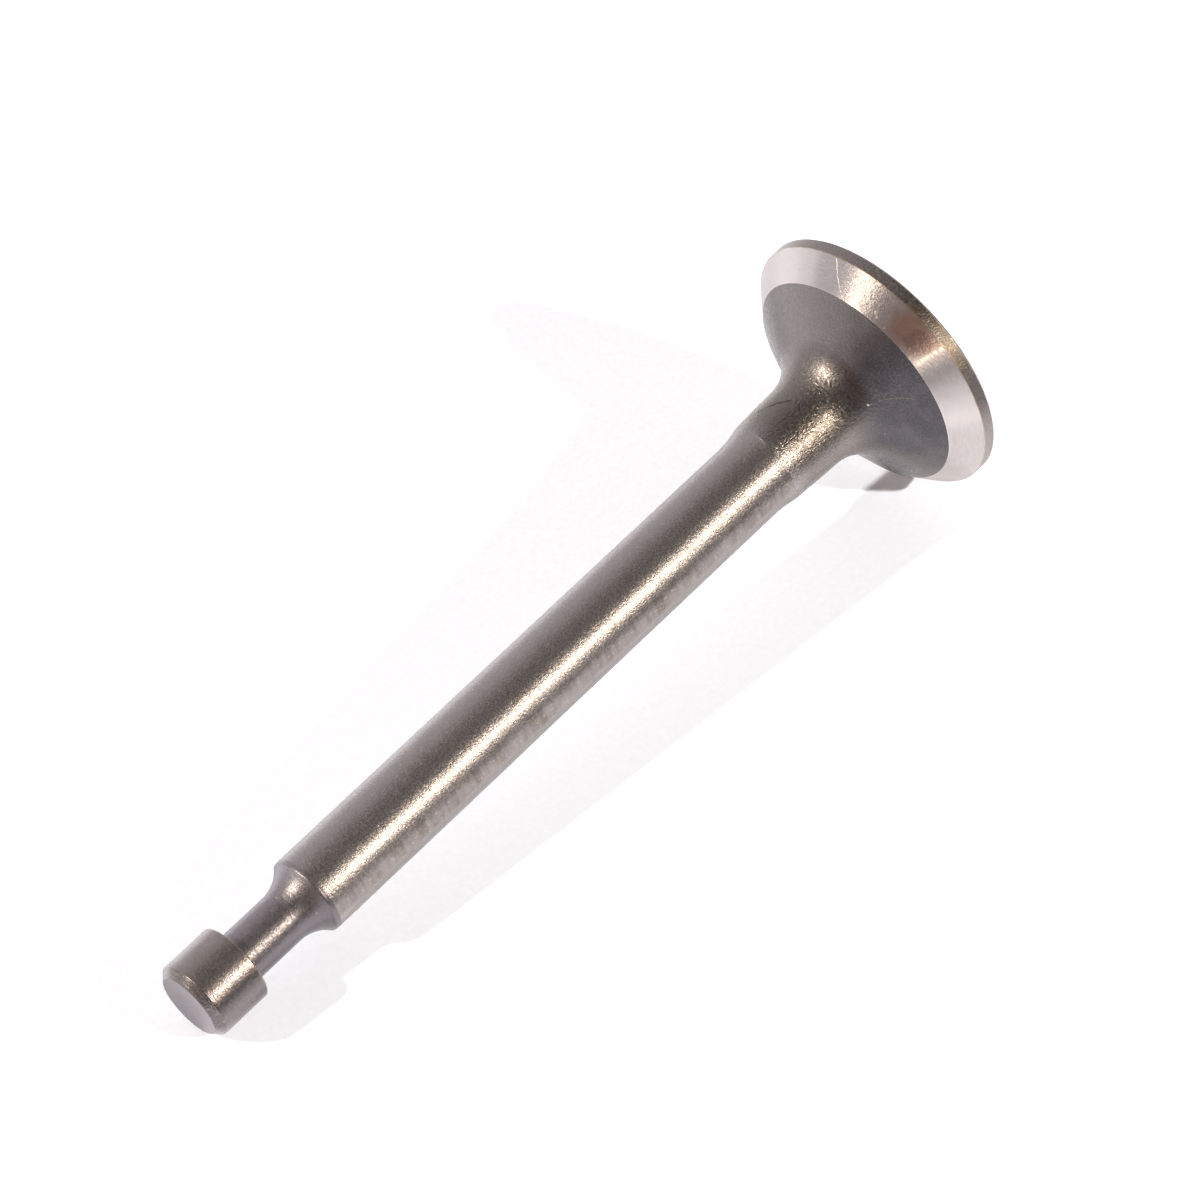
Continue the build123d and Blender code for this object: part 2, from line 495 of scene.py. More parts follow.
def curve(bm, pen, centre, turn, steps):
    """Spins the end of the section about a centre, counter-clockwise for a positive turn in degrees."""
    made = bmesh.ops.spin(
        bm, geom=[pen], cent=Vector((centre[0], 0, centre[1])) * MM, axis=(0, -1, 0),
        angle=radians(turn), steps=steps, use_merge=False,
    )
    return made["geom_last"][0]


# %% [markdown]
# ## Drawing and spinning the section
# Rings stand close together where the surface is going to change, at the rim and at the end of the forging,
# and far apart along the plain stem. Ground edges are never quite sharp. Each gets a bevel of a few
# hundredths of a millimetre, which is enough to catch a thread of light.

# %% Draw the section
CLOSE_RINGS = 0.95
bm = bmesh.new()
pen = begin(bm)
pen = straight(bm, pen, HEAD_RADIUS - FACE_BREAK, 0, 6)
pen = straight(bm, pen, HEAD_RADIUS, FACE_BREAK, 3)
pen = straight(bm, pen, HEAD_RADIUS, MARGIN_TOP, 14)
margin_edge = pen
pen = straight(bm, pen, SEAT_INNER, SEAT_TOP, 8)
seat_edge = pen
pen = straight(bm, pen, *fillet_start, 40)
pen = curve(bm, pen, fillet_centre, -degrees(fillet_turn), 42)
pen = straight(bm, pen, NECK_END_RADIUS + NECK_SLOPE * CLOSE_RINGS, NECK_END - CLOSE_RINGS, 14)
pen = straight(bm, pen, NECK_END_RADIUS, NECK_END, 18)
runout_half = degrees(acos(1 - runout_depth / RUNOUT_RADIUS)) / 2
runout_centre = (STEM_RADIUS + RUNOUT_RADIUS, STEM_START)
pen = curve(bm, pen, runout_centre, -runout_half, 28)
pen = curve(bm, pen, runout_centre, -runout_half, 8)
pen = straight(bm, pen, STEM_RADIUS, STEM_END, 24)
pen = straight(bm, pen, LEAD_RADIUS, LEAD_END, 3)
groove_turn = degrees(acos(1 - groove_depth / GROOVE_RADIUS))
groove_centre = (WAIST_RADIUS + GROOVE_RADIUS, WAIST_START)
pen.co = Vector((LEAD_RADIUS, 0, LEAD_END)) * MM
pen = curve(bm, pen, groove_centre, -groove_turn, 22)
pen = straight(bm, pen, WAIST_RADIUS, SHOULDER - SHOULDER_CORNER, 4)
corner_centre = (WAIST_RADIUS + SHOULDER_CORNER, SHOULDER - SHOULDER_CORNER)
pen = curve(bm, pen, corner_centre, -90, 6)
pen = straight(bm, pen, COLLAR_RADIUS - SHOULDER_EDGE, SHOULDER, 4)
edge_centre = (COLLAR_RADIUS - SHOULDER_EDGE, SHOULDER + SHOULDER_EDGE)
pen = curve(bm, pen, edge_centre, 90, 5)
tip_half = TIP_EDGE * tan(radians(TIP_ANGLE / 2))
pen = straight(bm, pen, COLLAR_RADIUS, LENGTH - TIP_CHAMFER - tip_half, 4)
pen = curve(bm, pen, (COLLAR_RADIUS - TIP_EDGE, LENGTH - TIP_CHAMFER - tip_half), TIP_ANGLE, 4)
face_edge = COLLAR_RADIUS - TIP_CHAMFER - tip_half
tip_turn = radians(TIP_ANGLE)
pen = straight(bm, pen, face_edge + TIP_EDGE * sin(tip_turn), LENGTH - TIP_EDGE * (1 - cos(tip_turn)), 4)
pen = curve(bm, pen, (face_edge, LENGTH - TIP_EDGE), TIP_ANGLE, 4)
pen = straight(bm, pen, 0, LENGTH, 5)
print("section points:", len(bm.verts))

# %% Spin it about the axis
SEGMENTS = 256
GROUND_EDGE = 0.03
SAME_POINT = 1e-7
bmesh.ops.bevel(
    bm, geom=[margin_edge, seat_edge], offset=GROUND_EDGE * MM, offset_type="OFFSET", segments=2,
    profile=0.5, affect="VERTICES", material=-1,
)
bmesh.ops.spin(
    bm, geom=bm.verts[:] + bm.edges[:], cent=(0, 0, 0), axis=(0, 0, 1), angle=2 * pi, steps=SEGMENTS,
    use_merge=True,
)
bmesh.ops.remove_doubles(bm, verts=bm.verts, dist=SAME_POINT)
bmesh.ops.recalc_face_normals(bm, faces=bm.faces)
volume = round(bm.calc_volume() / MM**3, 1)
print("spun:", len(bm.verts), "points,", len(bm.faces), "faces, volume", volume, "mm3")

# %% [markdown]
# ## The end of the forging
# A real forging is never quite true to the stem that is ground on it later. Here the neck stands about a
# tenth of a millimetre to one side. The wheel cuts its own curve into it, so the line where grinding stops
# runs round the neck on a slant. Each point of the neck keeps the smaller of the two radii, the forged and
# the ground, which is what cutting does.

# %% Move the forging off centre and cut it back to the ground curve
FORGING_OFFSET = 0.095
FORGING_STANDS_TO = radians(60)
FORGING_SKIN = 0.02
OFFSET_FULL_FROM = 8.0
SEAT_EDGE = 0.05
GRINDING_FROM = 12


def forged_radius(angle, height, drawn):
    """The forging's radius at one point, from the drawn section's."""
    share = min(1, max(0, (height - SEAT_TOP) / (OFFSET_FULL_FROM - SEAT_TOP)))
    share = share * share * (3 - 2 * share)
    if height > NECK_END:
        drawn = NECK_END_RADIUS - NECK_SLOPE * (height - NECK_END)
    return drawn + share * (FORGING_SKIN + FORGING_OFFSET * cos(angle - FORGING_STANDS_TO))


def ground_radius(height):
    """The radius that the grinding wheel leaves, along its run-out curve."""
    rise = max(0, STEM_START - height)
    return STEM_RADIUS + RUNOUT_RADIUS - sqrt(RUNOUT_RADIUS**2 - rise**2)


def is_forged(point):
    """Whether the forged skin is still there, at a point between the seat and the stem."""
    angle, height = atan2(point.y, point.x), point.z / MM
    drawn = NECK_END_RADIUS + NECK_SLOPE * (NECK_END - height)
    return forged_radius(angle, height, drawn) < ground_radius(height)


for vert in bm.verts:
    height = vert.co.z / MM
    if SEAT_TOP + SEAT_EDGE < height < STEM_START:
        angle, drawn = atan2(vert.co.y, vert.co.x), hypot(vert.co.x, vert.co.y) / MM
        radius = forged_radius(angle, height, drawn)
        if height > GRINDING_FROM:
            radius = min(radius, ground_radius(height))
        vert.co.x, vert.co.y = radius * cos(angle) * MM, radius * sin(angle) * MM
print("forging stands", FORGING_OFFSET, "mm to one side")

# %% [markdown]
# ## The forging's uneven skin
# Hot metal pressed in a die cools uneven. The skin under the head rises and falls by a hundredth or two of a
# millimetre over a width of one to three, which no ruler shows but every highlight does. Noise could press it
# in as a bump, but here it is pressed into the mesh as real relief.

# %% Press the uneven skin into the forging
RIPPLES = ((3.0, 0.03), (1.1, 0.012))
SKIN_START, SKIN_RISE = SEAT_TOP + 0.1, 0.5
SKIN_END, SKIN_FADE = 13.6, 1.5


def skin_share(height):
    """How much of the forged skin is there at a height, fading out where the wheel has been."""
    low = min(1, max(0, (height - SKIN_START) / SKIN_RISE))
    high = min(1, max(0, (SKIN_END - height) / SKIN_FADE))
    return low * high


for vert in bm.verts:
    share = skin_share(vert.co.z / MM)
    if share > 0 and hypot(vert.co.x, vert.co.y) / MM < SEAT_INNER:
        rise = sum(depth * noise_at(vert.co / (width * MM)) for width, depth in RIPPLES)
        outward = Vector((vert.co.x, vert.co.y, 0)).normalized() + Vector((0, 0, 1))
        vert.co += outward.normalized() * rise * share * MM
print("skin ripples, width and depth in mm:", RIPPLES)

# %% [markdown]
# ## Knocks in the rim
# The thin edge of the head is the first thing to meet a bench or another valve. Two small knocks are pressed
# into it as real dents, so that the outline shows them too.

# %% Rim knocks: angle round the head in degrees, and height in mm
RIM_KNOCKS = ((-69.3, 0.12), (-100.6, 0.1))
KNOCK_DEPTH, KNOCK_WIDTH, KNOCK_RISE = 0.07, 0.14, 0.5
for angle, height in RIM_KNOCKS:
    angle = radians(angle)
    spot = Vector((HEAD_RADIUS * cos(angle), HEAD_RADIUS * sin(angle), height)) * MM
    for vert in bm.verts:
        away = (vert.co - spot).length / MM
        if away < 3 * KNOCK_WIDTH:
            press = KNOCK_DEPTH * MM * exp(-((away / KNOCK_WIDTH) ** 2))
            vert.co -= Vector((cos(angle), sin(angle), -KNOCK_RISE)) * press
print("rim knocks:", len(RIM_KNOCKS))

# %% [markdown]
# ## Zones of finish
# One valve shows nine finishes, and each begins where a tool stopped. Separate meshes would leave gaps, so
# the mesh stays whole and each face is told which finish it has, from its height and the way it faces. Where
# the wheel ran out, the border is the line on which the forged and the ground radius are the same.

# %% Name the zones of the surface
ZONES = [
    "head_face", "margin", "seat", "forged_neck", "ground_stem", "groove", "collar", "tip_bevel", "tip_face",
]
FACING_DOWN, FACING_UP = -0.9, 0.98
RUNOUT_FROM = 13


def zone_of(face):
    """The zone of a face, from the height and the tilt of its middle."""
    centre = face.calc_center_median()
    height = centre.z / MM
    if height < FACE_BREAK:
        return "head_face" if face.normal.z < FACING_DOWN else "margin"
    if height < MARGIN_TOP:
        return "margin"
    if height < SEAT_TOP:
        return "seat"
    if height < STEM_START:
        return "forged_neck" if height < RUNOUT_FROM or is_forged(centre) else "ground_stem"
    if height < STEM_END:
        return "ground_stem"
    if height < SHOULDER:
        return "groove"
    if height < LENGTH - TIP_CHAMFER:
        return "collar"
    return "tip_face" if face.normal.z > FACING_UP else "tip_bevel"


for face in bm.faces:
    face.smooth = True
    face.material_index = ZONES.index(zone_of(face))
print("zones:", ZONES)

# %% Keep the creases sharp and make the mesh an object
CREASE_ANGLE, CREASE_TILT, CREASE_TOP = radians(12), 0.9, SEAT_TOP + 0.1
for edge in bm.edges:
    sharp = len(edge.link_faces) == 2 and edge.calc_face_angle() > CREASE_ANGLE
    if sharp and edge.link_faces[0].normal.z < CREASE_TILT:
        edge.smooth = edge.verts[0].co.z > CREASE_TOP * MM
valve_mesh = bpy.data.meshes.new("engine_valve")
bm.to_mesh(valve_mesh)
bm.free()
valve = add_object("engine_valve", valve_mesh)
sides = [round(length / MM, 2) for length in valve.dimensions]
print("engine_valve:", len(valve_mesh.polygons), "faces, box", sides)

# %% [markdown]
# ## Steel
# All zones are the same steel, so they share one recipe: a metal whose colour and roughness vary a little,
# under a relief. What differs from zone to zone is how it was made. Grinding leaves lines round the axis, and
# they spread a highlight along the valve, so the shader is given an anisotropy that turns with the surface.
# The helpers below lay coats of colour over each other, let a grain move the roughness, and stack reliefs.

# %% Steel recipe
finishes = {}


def steel(name, roughness, anisotropy=0.0):
    """A material with a metal shader; returns what is needed to wire more into it."""
    material, tree, output = blank_material(name)
    shader = node(tree, "ShaderNodeBsdfPrincipled", {
        "Roughness": roughness, "Metallic": 1.0, "Anisotropic": anisotropy, "Anisotropic Rotation": 0.25,
    })
    if anisotropy:
        tangent = node(tree, "ShaderNodeTangent", direction_type="RADIAL", axis="Z")
        tree.links.new(tangent.outputs[0], shader.inputs["Tangent"])
    tree.links.new(shader.outputs[0], output.inputs["Surface"])
    finishes[name] = material
    print("finish:", name, "roughness", roughness, "anisotropy", anisotropy)
    return tree, shader


# %% Coats of colour, roughness and relief


def coats(tree, shader, ground, *layers):
    """Lays coats over a ground colour. Each is a mask, a colour and how strong it is."""
    colour = (*ground, 1)
    for mask, tone, strength in layers:
        share = maths(tree, "MULTIPLY", mask, strength, clamp=True)
        colour = mix_colour(tree, share, colour, (*tone, 1))
    tree.links.new(colour, shader.inputs["Base Color"])


def roughness(tree, shader, mask, low, high):
    """Lets a mask move the roughness between two values."""
    tree.links.new(remap(tree, mask, 0, 1, low, high), shader.inputs["Roughness"])


def relief(tree, shader, *layers):
    """Presses reliefs into the surface, one over the other. Each is a height and its full depth in mm."""
    normal = None
    for height, depth in layers:
        sockets = {"Height": height, "Strength": 1.0, "Distance": depth * MM}
        if normal is not None:
            sockets["Normal"] = normal
        normal = node(tree, "ShaderNodeBump", sockets).outputs[0]
    tree.links.new(normal, shader.inputs["Normal"])


# %% Masks for the coats


def above(tree, value, middle, softness=0.04):
    """A mask of where a noise stands above a level."""
    return remap(tree, value, middle - softness, middle + softness, smooth=True)


def strongest(tree, *masks):
    """One mask out of several: the strongest at each point."""
    found = masks[0]
    for mask in masks[1:]:
        found = maths(tree, "MAXIMUM", found, mask)
    return found


def long_scratch(tree, points, width):
    """A scratch through a few points, in mm."""
    return strongest(tree, *(
        use(tree, scratch, start=start, end=end, width=width) for start, end in zip(points, points[1:])
    ))


def patches(tree, spots):
    """Patches round several spots, each a centre and a reach in mm."""
    return strongest(tree, *(use(tree, patch, centre=centre, reach=reach) for centre, reach in spots))


# %% [markdown]
# ## Head face and margin
# Both were turned, so both have fine lines round the axis. The face carries a soft brown heat stain. The
# narrow margin is darker and browner than the seat beside it, with a bronze speckle where the scale was only
# half taken off. Round the azimuth where the low lamp's highlight falls, its colour is painted nearly black:
# painted shade that dims that highlight. Two patches of gold speckle are painted glints, where the two lamps'
# highlights fall. A thin edge wears first, so a broken bright line is laid where the margin meets the seat
# and where it meets the face.

# %% Head face
tree, shader = steel("head_face", 0.42, 0.5)
lines = use(tree, turned, pitch=0.22, length=12.0)
stain = use(tree, grain, size=4.5, detail=5.0)
coats(
    tree, shader, (0.34, 0.31, 0.30),
    (above(tree, stain, 0.5, 0.12), (0.25, 0.215, 0.19), 0.7),
    (above(tree, lines, 0.55, 0.1), (0.44, 0.41, 0.39), 0.5),
)
relief(tree, shader, (lines, 0.03), (use(tree, grain, size=0.15), 0.01))

# %% Margin
# Painted glints: gold speckle patches where the two lamps' highlights fall on the margin.
MARGIN_PAINTED_GLINT_SPOTS = (((5.12, -11.40, 0.45), 0.9), ((-3.2, -12.08, 0.55), 0.9))
# Painted shade: the margin is painted nearly black round the azimuth where the low lamp's highlight falls.
MARGIN_PAINTED_SHADE_AZIMUTH = -98.0
tree, shader = steel("margin", 0.40, 0.3)
lines = use(tree, turned, pitch=0.1, length=3.0)
speckle = use(tree, grain, size=0.15, detail=2.0)
margin_painted_glint_mask = patches(tree, MARGIN_PAINTED_GLINT_SPOTS)
margin_painted_shade = use(tree, side, azimuth=MARGIN_PAINTED_SHADE_AZIMUTH, begin=26.0, full=11.0, ragged=6.0)
coats(
    tree, shader, (0.275, 0.245, 0.25),
    # painted shade that dims the low lamp's highlight
    (margin_painted_shade, (0.132, 0.113, 0.101), 1.0),
    (above(tree, speckle, 0.55, 0.06), (0.32, 0.27, 0.21), 0.55),
    (above(tree, speckle, 0.42, -0.05), (0.17, 0.15, 0.14), 0.7),
    # painted glints where the lamps' highlights fall
    (maths(tree, "MULTIPLY", margin_painted_glint_mask, above(tree, speckle, 0.52)), (0.50, 0.42, 0.28), 0.5),
    (use(tree, worn_edge, radius=HEAD_RADIUS, height=MARGIN_TOP, width=0.09), (0.46, 0.35, 0.23), 0.7),
    (use(tree, worn_edge, radius=HEAD_RADIUS, height=FACE_BREAK, width=0.07), (0.42, 0.37, 0.33), 0.4),
)
roughness(tree, shader, above(tree, speckle, 0.5, 0.1), 0.32, 0.48)
relief(tree, shader, (lines, 0.02), (speckle, 0.03))

# %% [markdown]
# ## Seat
# The seat is the one freshly ground face, so it is the lightest. Its lines run round the axis, short and very
# fine. One part of it is tinted bronze-pink. A smaller patch in that is painted darker, as painted shade, and
# several sides of the seat are painted lighter or paler, as painted reflections. A narrow bright streak
# straight down the cone, with a softer skirt, is a painted highlight: the glint of the low lamp on the ground
# lines. A crooked scratch crosses the face, and a few bright pits and a thin burr on both edges catch the
# light. Each is a coat of its own, because then each can be moved without touching the others.

# %% Seat
SEAT_SCRATCH = ((8.38, -9.09, 1.38), (7.23, -8.86, 2.32), (6.25, -8.76, 2.99), (5.63, -8.76, 3.33))
# Painted highlight: a straight streak down the cone, where the low lamp's glint falls on the ground lines.
SEAT_PAINTED_GLINT_LINE = ((-2.46, -10.28, 3.18), (-3.02, -12.09, 1.29))
SEAT_PITS = (((2.89, -10.52, 2.84), 0.27), ((2.60, -10.45, 2.98), 0.20), ((1.52, -10.45, 3.19), 0.14))
SEAT_BRONZE = (((-0.37, -11.84, 1.90), 2.2), ((0.3, -11.3, 2.4), 1.7), ((-1.76, -11.79, 1.83), 1.6))
# Painted shade: a darker patch inside the bronze, standing in for a dark reflection there.
SEAT_PAINTED_SHADE_SPOT = (((-1.35, -11.30, 2.35), 1.5),)
# Painted reflections: each side painted lighter is an azimuth in degrees and how far it reaches.
SEAT_PAINTED_LIGHT_SIDES = ((-128.0, 18.0), (-30.0, 13.0), (176.0, 16.0))
# Painted reflection: one side of the seat is painted paler.
SEAT_PAINTED_PALE_AZIMUTH = -2.0
tree, shader = steel("seat", 0.42, 1.0)
lines = use(tree, turned, pitch=0.16, length=0.8, detail=3.0)
broad_lines = use(tree, turned, pitch=0.3, length=9.0)
speckle = use(tree, grain, size=0.2, detail=2.0)
bronze, seat_painted_shade, pits = (patches(tree, spots) for spots in (SEAT_BRONZE, SEAT_PAINTED_SHADE_SPOT, SEAT_PITS))
seat_painted_whiter = use(tree, side, azimuth=SEAT_PAINTED_PALE_AZIMUTH, begin=38.0, full=22.0, ragged=3.0)
seat_painted_light = strongest(tree, *(
    use(tree, side, azimuth=azimuth, begin=reach, full=reach / 3, ragged=3.0)
    for azimuth, reach in SEAT_PAINTED_LIGHT_SIDES
))
bright_cut = long_scratch(tree, SEAT_SCRATCH, 0.13)
painted_glint_skirt = long_scratch(tree, SEAT_PAINTED_GLINT_LINE, 1.1)
painted_glint_core = maths(tree, "MULTIPLY", long_scratch(tree, SEAT_PAINTED_GLINT_LINE, 0.6), above(tree, lines, 0.46, 0.1))
coats(
    tree, shader, (0.61, 0.56, 0.55),
    (above(tree, lines, 0.5, 0.15), (0.54, 0.49, 0.475), 0.6),
    (above(tree, broad_lines, 0.5, 0.15), (0.57, 0.515, 0.495), 0.5),
    (bronze, (0.54, 0.36, 0.315), 0.85),
    (maths(tree, "MULTIPLY", bronze, above(tree, speckle, 0.5)), (0.60, 0.46, 0.36), 0.5),
    # painted shade
    (seat_painted_shade, (0.37, 0.255, 0.225), 0.75),
    # painted reflections: a paler side and sides painted lighter
    (seat_painted_whiter, (0.69, 0.635, 0.625), 0.8),
    (seat_painted_light, (0.75, 0.69, 0.67), 0.8),
    # painted highlight: the glint's soft skirt, then its bright core
    (painted_glint_skirt, (0.78, 0.69, 0.61), 0.45),
    (painted_glint_core, (1.0, 0.97, 0.90), 1.0),
    (bright_cut, (0.9, 0.84, 0.78), 0.9),
    (pits, (0.95, 0.9, 0.82), 1.0),
    (use(tree, worn_edge, radius=HEAD_RADIUS, height=MARGIN_TOP, width=0.09), (0.42, 0.30, 0.19), 0.8),
    (use(tree, worn_edge, radius=SEAT_INNER, height=SEAT_TOP, width=0.08), (0.85, 0.80, 0.74), 0.6),
)
roughness(tree, shader, lines, 0.38, 0.52)
relief(tree, shader, (lines, 0.035), (speckle, 0.018), (bright_cut, 0.02))

# %% [markdown]
# ## Forged neck
# The forging was blasted clean and left as it is. Close to, its skin is a mass of worm-like wrinkles a
# quarter of a millimetre across, which break every highlight into sparks. A fine grain in the roughness does
# the same on a smaller scale. A blue-grey scale stays under the head. On one side there its colour is painted
# nearly black: painted shade, for the shadowed paper that the steel reflects close by. In that dark side one
# patch is painted lighter, a painted reflection, and on the far side one patch is painted darker, the painted
# reflection of the contact shadow beside the head. Towards the stem the colour runs over into the stem's own.
# A few dark handling scratches cross it. The place where such valves carry a stamp is left bare.

# %% Forged neck
# Painted shade: under the head, one side is painted nearly black for the shadowed paper it reflects close by.
NECK_PAINTED_DARK_AZIMUTH = -122.0
# Painted reflections: one patch painted lighter in the dark side, and one painted darker where the contact
# shadow beside the head is reflected.
NECK_PAINTED_LIGHT_PATCH, NECK_PAINTED_SHADE_PATCH = (-6.36, -3.38, 5.2), (-7.3, 3.3, 4.7)
ARC_SCRATCH = ((-2.18, -5.00, 6.43), (-2.84, -6.20, 5.44), (-3.67, -7.12, 4.75), (-4.52, -7.76, 4.19))
NECK_SCRATCH = ((3.54, -1.66, 12.64), (3.05, -2.54, 11.24), (2.42, -3.19, 10.41))
NECK_HOOK = ((2.01, -3.47, 10.25), (1.67, -3.64, 10.41), (1.30, -3.77, 10.80))
FORGING_LINE = ((0.10, -3.85, 14.16), (0.09, -3.92, 12.46))
tree, shader = steel("forged_neck", 0.34)
wrinkles = use(tree, grain, size=0.26, detail=2.0, warp=0.8)
fine = use(tree, grain, size=0.18, detail=1.5)
cloud = use(tree, grain, size=1.8, detail=4.0)
painted_dark_mask = use(tree, side, azimuth=NECK_PAINTED_DARK_AZIMUTH, begin=66.0, full=28.0, ragged=12.0)
height = radius_and_height(tree)[1]
under_head = remap(tree, height, 9.0, 5.5, smooth=True)
near_stem = remap(tree, height, 12.5, 15.5, smooth=True)
cuts = strongest(
    tree, long_scratch(tree, NECK_SCRATCH, 0.26), long_scratch(tree, NECK_HOOK, 0.24),
    long_scratch(tree, FORGING_LINE, 0.2),
)
arc = long_scratch(tree, ARC_SCRATCH, 0.16)
coats(
    tree, shader, (0.222, 0.194, 0.180),
    (above(tree, fine, 0.56, 0.05), (0.34, 0.27, 0.19), 0.25),
    (near_stem, (0.355, 0.322, 0.318), 1.0),
    (under_head, (0.192, 0.174, 0.170), 1.0),
    # painted shade on one side under the head
    (maths(tree, "MULTIPLY", under_head, painted_dark_mask), (0.079, 0.073, 0.081), 1.0),
    # painted reflections: a lighter patch, then a darker one
    (use(tree, patch, centre=NECK_PAINTED_LIGHT_PATCH, reach=2.2), (0.130, 0.120, 0.132), 0.8),
    (use(tree, patch, centre=NECK_PAINTED_SHADE_PATCH, reach=3.0, ragged=0.2), (0.105, 0.094, 0.098), 0.7),
    (above(tree, cloud, 0.52, 0.1), (0.18, 0.16, 0.16), 0.15),
    (above(tree, fine, 0.42, -0.05), (0.13, 0.115, 0.115), 0.12),
    (use(tree, specks, size=0.35, share=0.015, seed=7.0), (0.4, 0.34, 0.28), 0.6),
    (cuts, (0.055, 0.046, 0.044), 0.95),
    (arc, (0.26, 0.235, 0.215), 0.9),
    (use(tree, patch, centre=ARC_SCRATCH[0], reach=0.13), (0.95, 0.9, 0.85), 1.0),
)
roughness(tree, shader, above(tree, fine, 0.5, 0.12), 0.27, 0.42)
calm = remap(tree, under_head, 0, 1, 1.0, 0.4)
relief(
    tree, shader, (maths(tree, "MULTIPLY", wrinkles, calm), 0.05), (fine, 0.016), (cuts, -0.03),
    (arc, 0.03),
)

# %% [markdown]
# ## Ground stem
# The stem is ground between two wheels. The lines run round it and are a sixth of a millimetre apart, so they
# are too fine to see one by one, but they fray the edges of the long highlight. A grain that moves the
# roughness makes it sparkle: polished points lie between duller ones. One flank is painted darker and
# browner: painted shade, for the dark reflection along it. A few bronze points are left of the older skin. A
# thin band of bright bronze points where the grinding runs out is a painted glint.

# %% Ground stem
STEM_POINT = ((0.16, -3.54, 62.18), 0.16)
# Painted glint: a thin band of bright bronze points where the grinding runs out.
RUN_OUT_PAINTED_GLINT = ((1.66, -3.32, 15.2), (1.50, -3.26, 16.6), (1.24, -3.33, 18.2))
# Painted shade: one flank painted darker and browner, for the dark reflection along it.
STEM_PAINTED_SHADE_AZIMUTH = -134.0
tree, shader = steel("ground_stem", 0.375, 0.3)
lines = use(tree, turned, pitch=0.16, length=0.6, detail=3.0)
long_lines = use(tree, turned, pitch=0.5, length=12.0)
fine = use(tree, grain, size=0.14, detail=1.5)
cloud = use(tree, grain, size=2.5, detail=4.0)
painted_glint_band = long_scratch(tree, RUN_OUT_PAINTED_GLINT, 1.0)
glint_points = use(tree, specks, size=0.2, share=0.45, seed=9.0)
old_skin = use(tree, grain, size=0.24, seed=5.0)
stem_painted_shade = use(tree, side, azimuth=STEM_PAINTED_SHADE_AZIMUTH, begin=20.0, full=9.0, ragged=3.0)
coats(
    tree, shader, (0.355, 0.325, 0.328),
    # painted shade on one flank
    (stem_painted_shade, (0.168, 0.140, 0.125), 1.0),
    (above(tree, cloud, 0.52, 0.12), (0.32, 0.29, 0.285), 0.5),
    (above(tree, long_lines, 0.5, 0.15), (0.33, 0.30, 0.295), 0.5),
    (above(tree, fine, 0.57, 0.05), (0.40, 0.35, 0.30), 0.25),
    (above(tree, fine, 0.43, -0.05), (0.27, 0.24, 0.235), 0.25),
    (above(tree, old_skin, 0.65, 0.03), (0.60, 0.47, 0.33), 0.4),
    # painted glint
    (maths(tree, "MULTIPLY", painted_glint_band, glint_points), (1.0, 0.80, 0.54), 0.8),
    (use(tree, patch, centre=STEM_POINT[0], reach=STEM_POINT[1]), (0.95, 0.88, 0.8), 1.0),
    (use(tree, worn_edge, radius=LEAD_RADIUS, height=LEAD_END, width=0.08), (0.6, 0.54, 0.46), 0.4),
)
roughness(tree, shader, above(tree, fine, 0.5, 0.12), 0.305, 0.425)
relief(tree, shader, (lines, 0.035), (fine, 0.02))

# %% [markdown]
# ## Groove, collar and tip
# The keeper groove is turned and not ground, so it is duller and a little bluer, with wider lines. The collar
# above it is ground like the stem but has browned where the tip was hardened. Both are painted darker on one
# flank, as painted shade for the dark reflection there, and the collar darker still in one narrow band. The
# bevel of the tip shows its turning marks; it is painted pale on one side, as painted light, and dark on the
# other, as painted shade. The end face is plain satin, worn a little darker in the middle.

# %% Groove
# Painted shade: the groove and the collar are darkened on one flank, for the dark reflection there.
FLANK_PAINTED_SHADE_AZIMUTH = -130.0
tree, shader = steel("groove", 0.40, 0.3)
lines = use(tree, turned, pitch=0.2, length=1.2, detail=3.0)
fine = use(tree, grain, size=0.16, detail=2.0)
flank_painted_shade = use(tree, side, azimuth=FLANK_PAINTED_SHADE_AZIMUTH, begin=50.0, full=15.0)
coats(
    tree, shader, (0.285, 0.262, 0.275),
    (above(tree, lines, 0.55, 0.1), (0.33, 0.30, 0.30), 0.4),
    (above(tree, fine, 0.42, -0.05), (0.19, 0.17, 0.178), 0.4),
    # painted shade on one flank
    (flank_painted_shade, (0.168, 0.152, 0.160), 0.9),
    (use(tree, specks, size=0.5, share=0.04, seed=3.0), (0.6, 0.49, 0.38), 0.7),
)
roughness(tree, shader, above(tree, fine, 0.5, 0.12), 0.345, 0.46)
relief(tree, shader, (lines, 0.03), (fine, 0.02))

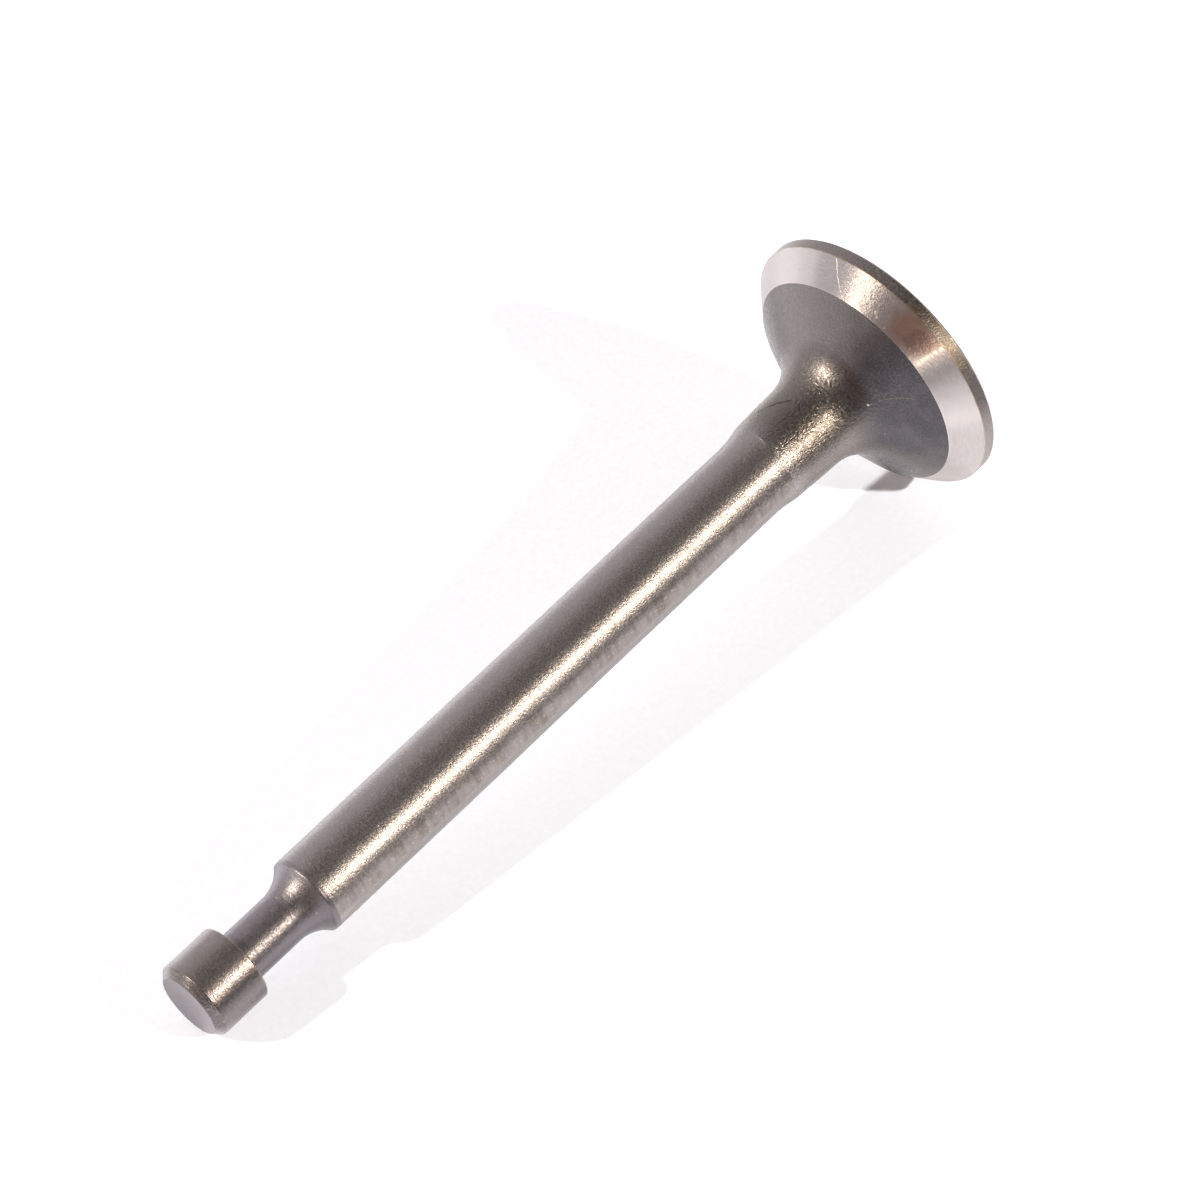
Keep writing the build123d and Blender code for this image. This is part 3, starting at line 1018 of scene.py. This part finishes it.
# %% Collar
# Painted shade: a narrow band on the collar's flank painted darker still, for the dark reflection there.
COLLAR_PAINTED_SHADE_BAND = -125.0
tree, shader = steel("collar", 0.37, 0.3)
lines = use(tree, turned, pitch=0.16, length=0.6, detail=3.0)
fine = use(tree, grain, size=0.14, detail=1.5)
cloud = use(tree, grain, size=1.6, detail=4.0)
flank_painted_shade = use(tree, side, azimuth=FLANK_PAINTED_SHADE_AZIMUTH, begin=45.0, full=15.0)
collar_painted_shade_band = use(tree, side, azimuth=COLLAR_PAINTED_SHADE_BAND, begin=14.0, full=3.0, ragged=2.0)
coats(
    tree, shader, (0.325, 0.29, 0.295),
    (above(tree, cloud, 0.5, 0.12), (0.305, 0.262, 0.245), 0.6),
    # painted shade on one flank
    (flank_painted_shade, (0.172, 0.152, 0.155), 1.0),
    # painted shade band
    (collar_painted_shade_band, (0.112, 0.098, 0.098), 0.7),
    (above(tree, fine, 0.57, 0.05), (0.36, 0.31, 0.26), 0.25),
    (above(tree, fine, 0.43, -0.05), (0.25, 0.215, 0.205), 0.25),
    (use(tree, specks, size=0.4, share=0.06, seed=2.0), (0.60, 0.47, 0.33), 0.5),
    (use(tree, worn_edge, radius=COLLAR_RADIUS, height=SHOULDER + 0.1, width=0.07), (0.48, 0.40, 0.31), 0.5),
)
roughness(tree, shader, above(tree, fine, 0.5, 0.12), 0.30, 0.41)
relief(tree, shader, (lines, 0.03), (fine, 0.014))

# %% Tip bevel
# Painted light and shade: the bevel is painted pale on one side and dark on the other.
BEVEL_PAINTED_DARK_AZIMUTH, BEVEL_PAINTED_LIGHT_AZIMUTH = -125.0, 20.0
tree, shader = steel("tip_bevel", 0.34, 0.4)
lines = use(tree, turned, pitch=0.18, length=1.0, detail=3.0)
fine = use(tree, grain, size=0.2, detail=3.0)
painted_dark_mask = use(tree, side, azimuth=BEVEL_PAINTED_DARK_AZIMUTH, begin=44.0, full=24.0)
painted_light_mask = use(tree, side, azimuth=BEVEL_PAINTED_LIGHT_AZIMUTH, begin=52.0, full=22.0)
coats(
    tree, shader, (0.195, 0.174, 0.172),
    # painted light on one side, then painted shade on the other
    (painted_light_mask, (0.44, 0.415, 0.44), 1.0),
    (painted_dark_mask, (0.130, 0.118, 0.126), 1.0),
    (above(tree, fine, 0.58, 0.05), (0.40, 0.33, 0.24), 0.4),
    (above(tree, lines, 0.45, -0.08), (0.16, 0.142, 0.14), 0.35),
)
roughness(tree, shader, fine, 0.28, 0.36)
relief(tree, shader, (lines, 0.04), (fine, 0.03))

# %% Tip face
TIP_WEAR = (0.3, 0.2, LENGTH)
tree, shader = steel("tip_face", 0.42)
fine = use(tree, grain, size=0.18, detail=3.0)
wear = use(tree, patch, centre=TIP_WEAR, reach=2.2, ragged=0.8)
coats(
    tree, shader, (0.262, 0.238, 0.252),
    (wear, (0.232, 0.209, 0.224), 0.8),
    (above(tree, fine, 0.56, 0.06), (0.30, 0.272, 0.275), 0.4),
    (use(tree, specks, size=0.6, share=0.05, seed=4.0), (0.25, 0.22, 0.21), 0.6),
)
roughness(tree, shader, fine, 0.38, 0.48)
relief(tree, shader, (fine, 0.012))

# %% Give the mesh its finishes, in the order of its zones
for zone in ZONES:
    valve_mesh.materials.append(finishes[zone])
print("finishes on the mesh:", [material.name for material in valve_mesh.materials])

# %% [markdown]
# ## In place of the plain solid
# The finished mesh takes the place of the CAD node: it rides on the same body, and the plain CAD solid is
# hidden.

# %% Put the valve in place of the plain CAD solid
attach(valve, "root")
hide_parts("valve")
